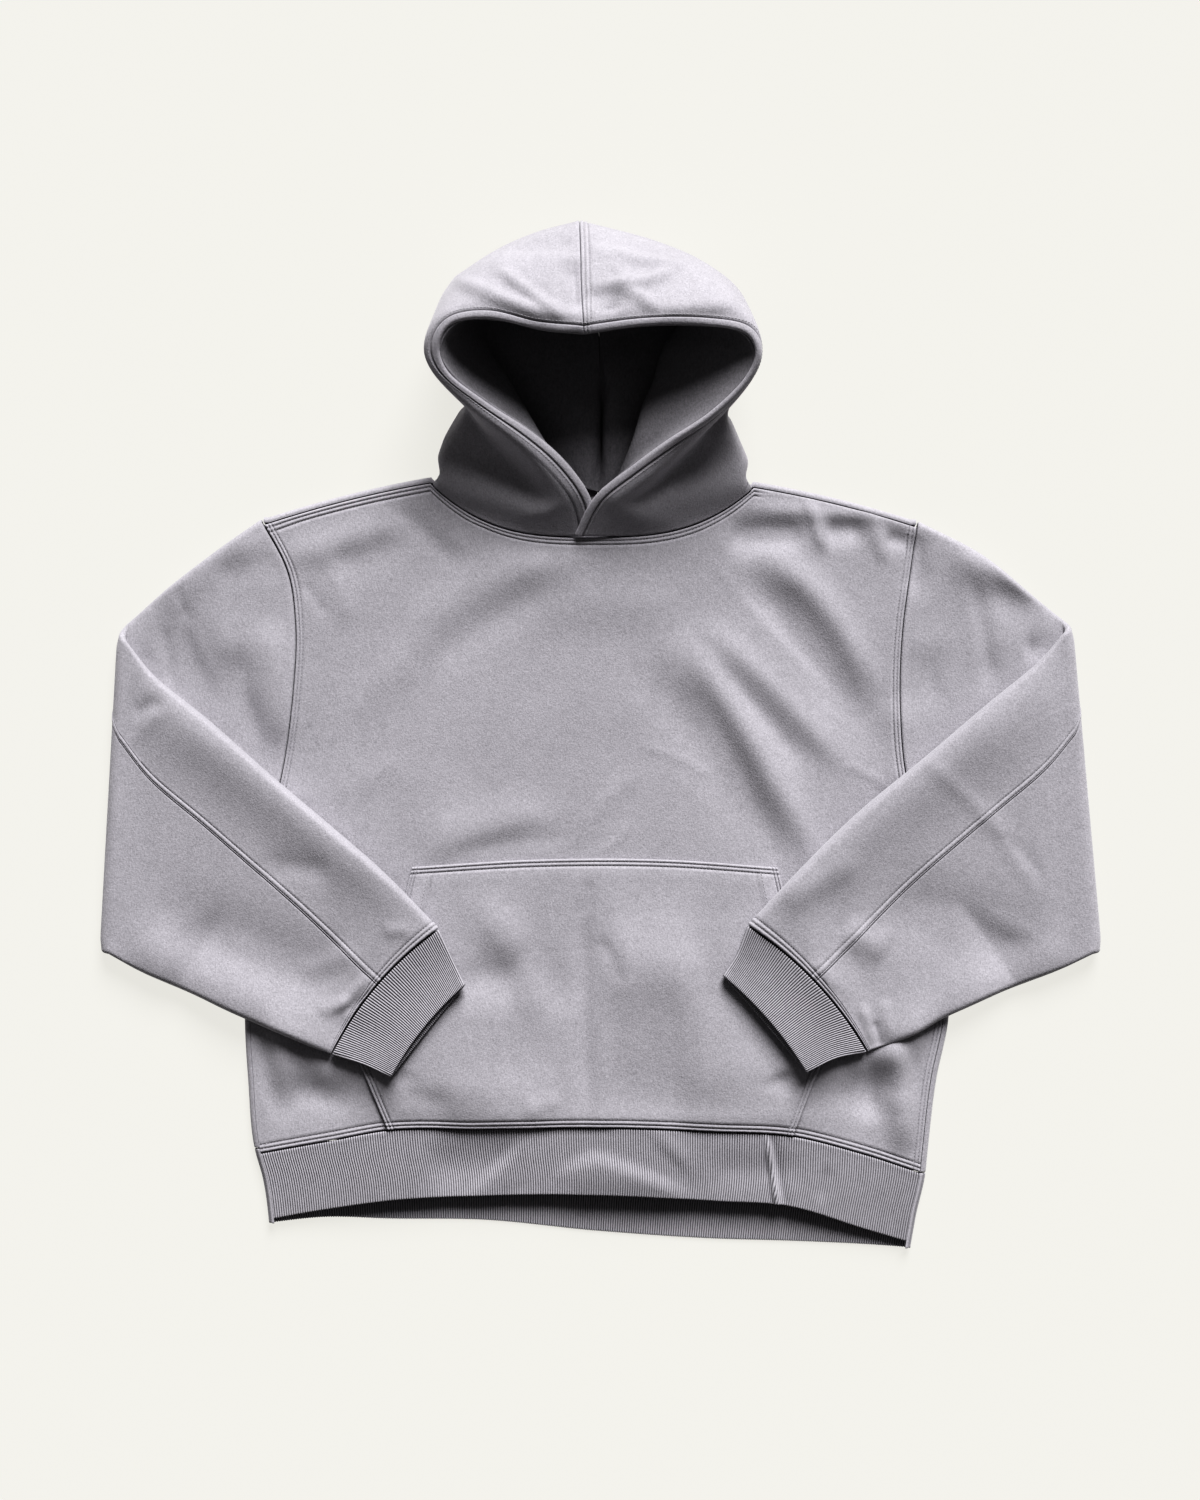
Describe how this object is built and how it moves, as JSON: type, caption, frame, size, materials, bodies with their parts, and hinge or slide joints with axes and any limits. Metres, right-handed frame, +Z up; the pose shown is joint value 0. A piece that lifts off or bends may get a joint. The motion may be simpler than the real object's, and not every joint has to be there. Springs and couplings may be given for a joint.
{
  "type": "pullover hoodie",
  "caption": "Pullover hoodie laid flat on its back: sleeves folded in over the front, hood standing open, kangaroo pocket, ribbed cuffs and waistband.",
  "frame": {"origin": "centre of the bounding box's underside, on the surface the garment lies on", "axes": "+Z up from that surface, +Y from the hem towards the hood, +X towards the side that lies on the right as seen from above"},
  "size_m": [0.8974, 0.9188, 0.1155],
  "materials": {
    "fleece": "brushed heavy fleece, matt",
    "lining": "fleece hood lining, matt",
    "rib": "ribbed knit, matt"
  },
  "bodies": {
    "root": {"back": "fleece", "front": "fleece", "pocket": "fleece", "sleeve_left": "fleece", "sleeve_right": "fleece", "cuff_left": "rib", "cuff_right": "rib", "hem_front": "rib", "hem_back": "rib", "hood_left": "fleece", "hood_right": "fleece", "lining_left": "lining", "lining_right": "lining"}
  },
  "joints": []
}
